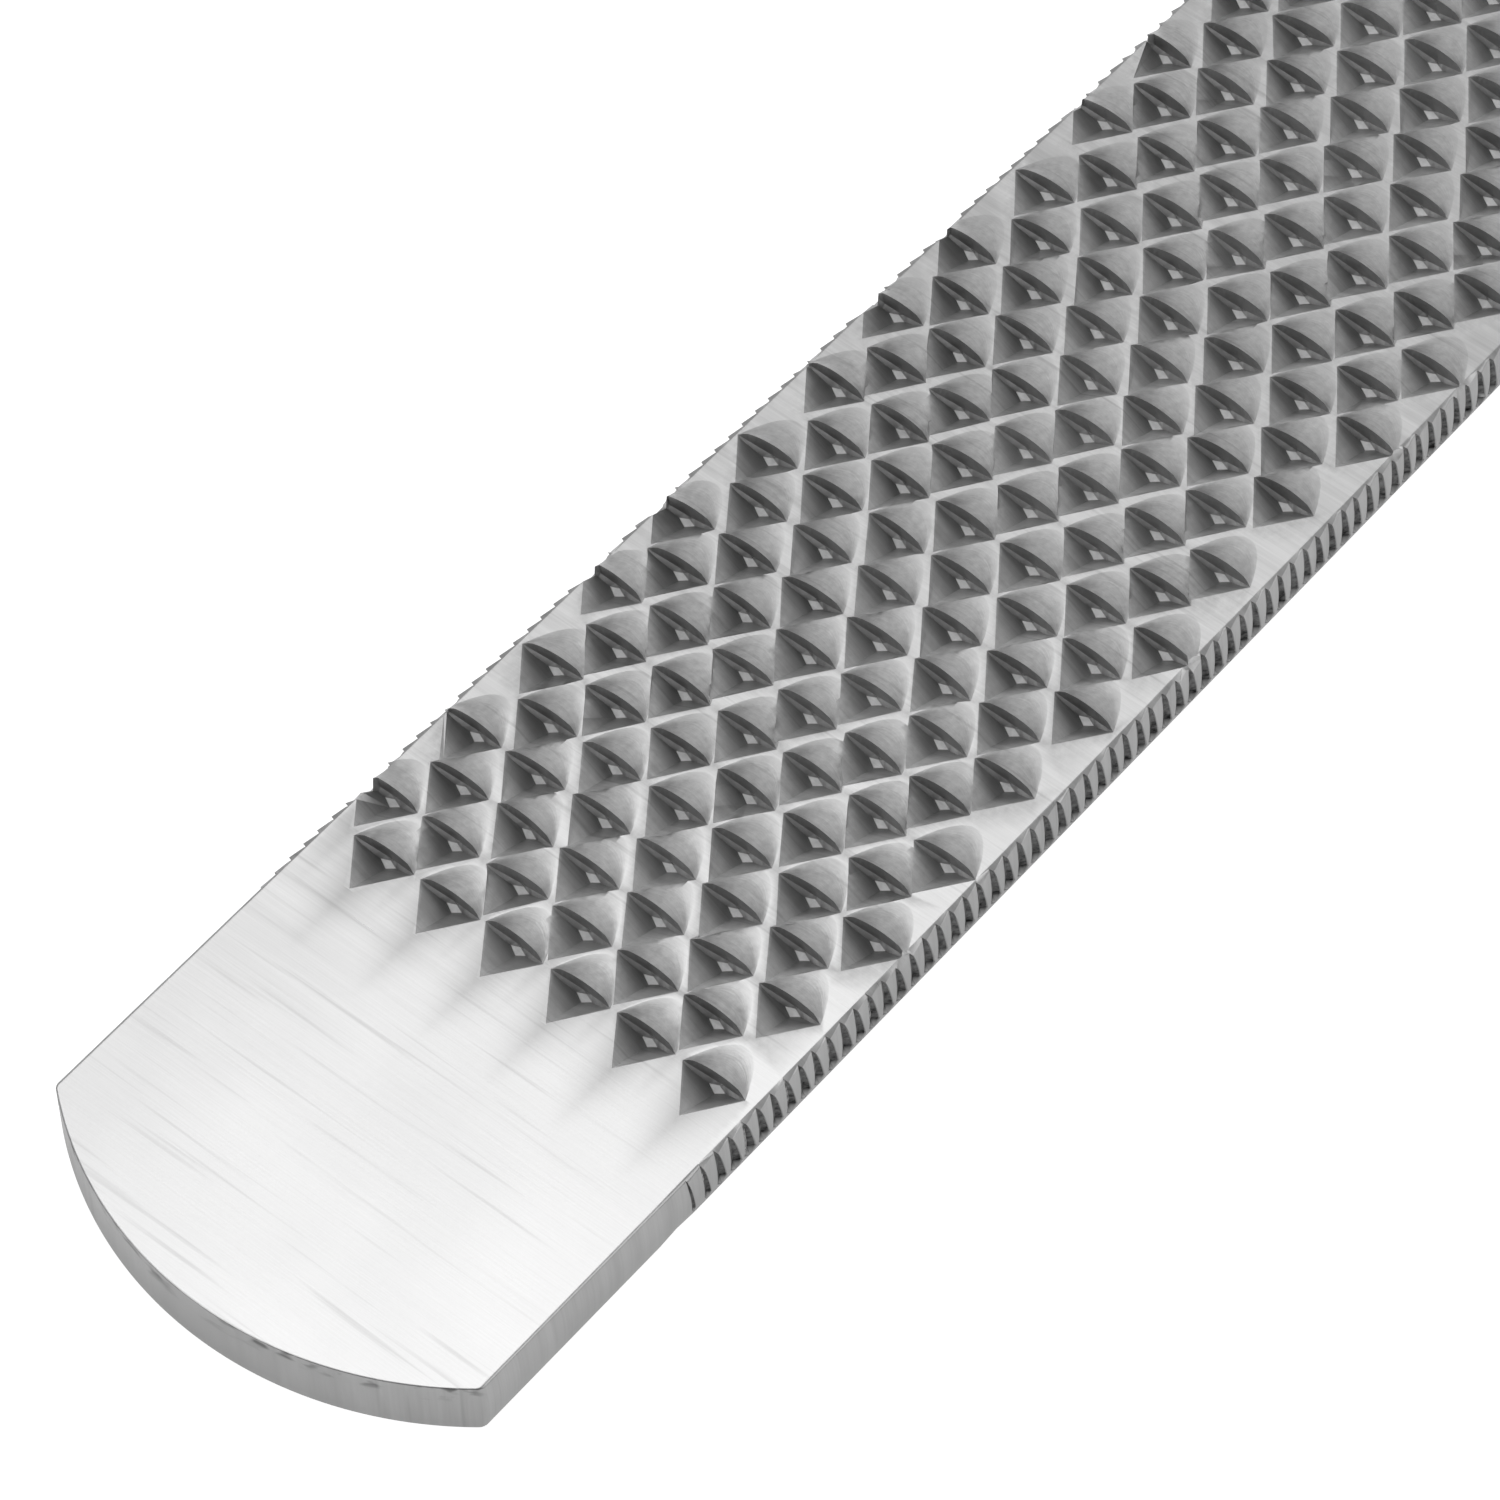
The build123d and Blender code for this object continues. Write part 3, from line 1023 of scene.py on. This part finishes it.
def makeFloor():
    size = ground["size"]
    corners = []
    for x, y in ((-size, -size), (size, -size), (size, size), (-size, size)):
        corners.append((x, y, belly.z - 0.0001 - slope * (x - belly.x)))
    mesh = bpy.data.meshes.new("floor")
    mesh.from_pydata(corners, [], [(0, 1, 2, 3)])
    floor = bpy.data.objects.new("floor", mesh)
    bpy.context.scene.collection.objects.link(floor)
    material = bpy.data.materials.new("paleFloor")
    material.use_nodes = True
    tree = material.node_tree
    tree.nodes.clear()
    out = tree.nodes.new("ShaderNodeOutputMaterial")
    path = tree.nodes.new("ShaderNodeLightPath")
    diffuse = tree.nodes.new("ShaderNodeBsdfDiffuse")
    diffuse.inputs["Color"].default_value = (*[ground["tone"]] * 3, 1)
    glow = tree.nodes.new("ShaderNodeEmission")
    seen = ranged(tree, path.outputs["Is Camera Ray"], 0.0, 1.0, ground["glow"], ground["seen"])
    tree.links.new(seen, glow.inputs["Strength"])
    both = tree.nodes.new("ShaderNodeAddShader")
    tree.links.new(diffuse.outputs[0], both.inputs[0])
    tree.links.new(glow.outputs[0], both.inputs[1])
    tree.links.new(both.outputs[0], out.inputs["Surface"])
    mesh.materials.append(material)


# name, place in metres, point it faces, size, power
lamps = [
    ("mainSoftbox", (-0.125, 0.105, 0.40), (-0.23, -0.01, 0.0), (0.27, 0.27), 0.32),
    ("tipFill", (-1.0, 0.50, 1.05), (-0.15, 0.0, 0.0), (0.8, 0.8), 2.1),
    ("rightFill", (0.46, -1.14, 0.72), (-0.15, 0.0, 0.0), (0.9, 0.9), 2.6),
]


def softbox(name, place, faces, size, power):
    light = bpy.data.lights.new(name, "AREA")
    light.shape = "RECTANGLE"
    light.size, light.size_y = size
    light.energy = power
    lamp = bpy.data.objects.new(name, light)
    bpy.context.scene.collection.objects.link(lamp)
    lamp.location = place
    lamp.rotation_mode = "QUATERNION"
    lamp.rotation_quaternion = (Vector(place) - Vector(faces)).to_track_quat("Z", "Y")
    return lamp


view = {
    "turn": -48.94,  # degrees round from the -Y side
    "rise": 54.12,
    "roll": 1.77,
    "distance": 0.5999,
    "lens": 181.5,
    "aimFromTip": 0.0659,
    "aimY": 0.0003,
}
aim = Vector((tipX * mm + view["aimFromTip"], view["aimY"], faceZ * mm))


def makeCamera():
    turn, rise = math.radians(view["turn"]), math.radians(view["rise"])
    back = Vector((math.sin(turn) * math.cos(rise), -math.cos(turn) * math.cos(rise), math.sin(rise)))
    data = bpy.data.cameras.new("camera")
    data.lens = view["lens"]
    data.sensor_width = 36.0
    data.clip_start = 0.01
    data.clip_end = 50.0
    camera = bpy.data.objects.new("camera", data)
    bpy.context.scene.collection.objects.link(camera)
    camera.location = aim + back * view["distance"]
    camera.rotation_mode = "QUATERNION"
    facing = (-back).to_track_quat("-Z", "Y")
    camera.rotation_quaternion = facing @ Quaternion((0, 0, 1), math.radians(-view["roll"]))
    bpy.context.scene.camera = camera
    return camera


# pale room, brightest high up behind the tool and darker towards its tip
room = {
    "towards": (0.62, 0.35, 0.70),
    "dark": 0.20,
    "light": 0.66,
    "seen": 1.06,
}


def makeWorld():
    world = bpy.data.worlds.new("studio")
    bpy.context.scene.world = world
    world.use_nodes = True
    tree = world.node_tree
    tree.nodes.clear()
    out = tree.nodes.new("ShaderNodeOutputWorld")
    background = tree.nodes.new("ShaderNodeBackground")
    path = tree.nodes.new("ShaderNodeLightPath")
    direction = tree.nodes.new("ShaderNodeTexCoord").outputs["Generated"]
    dot = tree.nodes.new("ShaderNodeVectorMath")
    dot.operation = "DOT_PRODUCT"
    tree.links.new(direction, dot.inputs[0])
    dot.inputs[1].default_value = Vector(room["towards"]).normalized()
    soft = ranged(tree, dot.outputs["Value"], -0.2, 1.0, room["dark"], room["light"])
    mix = tree.nodes.new("ShaderNodeMix")
    tree.links.new(path.outputs["Is Camera Ray"], mix.inputs["Factor"])
    tree.links.new(soft, mix.inputs[2])
    mix.inputs[3].default_value = room["seen"]
    tree.links.new(mix.outputs[0], background.inputs["Strength"])
    tree.links.new(background.outputs[0], out.inputs["Surface"])


makeFloor()
camera = makeCamera()
makeWorld()
for lamp in lamps:
    softbox(*lamp)
bpy.context.scene.view_settings.view_transform = "Standard"
print("floor, camera, room and", len(lamps), "lamps")
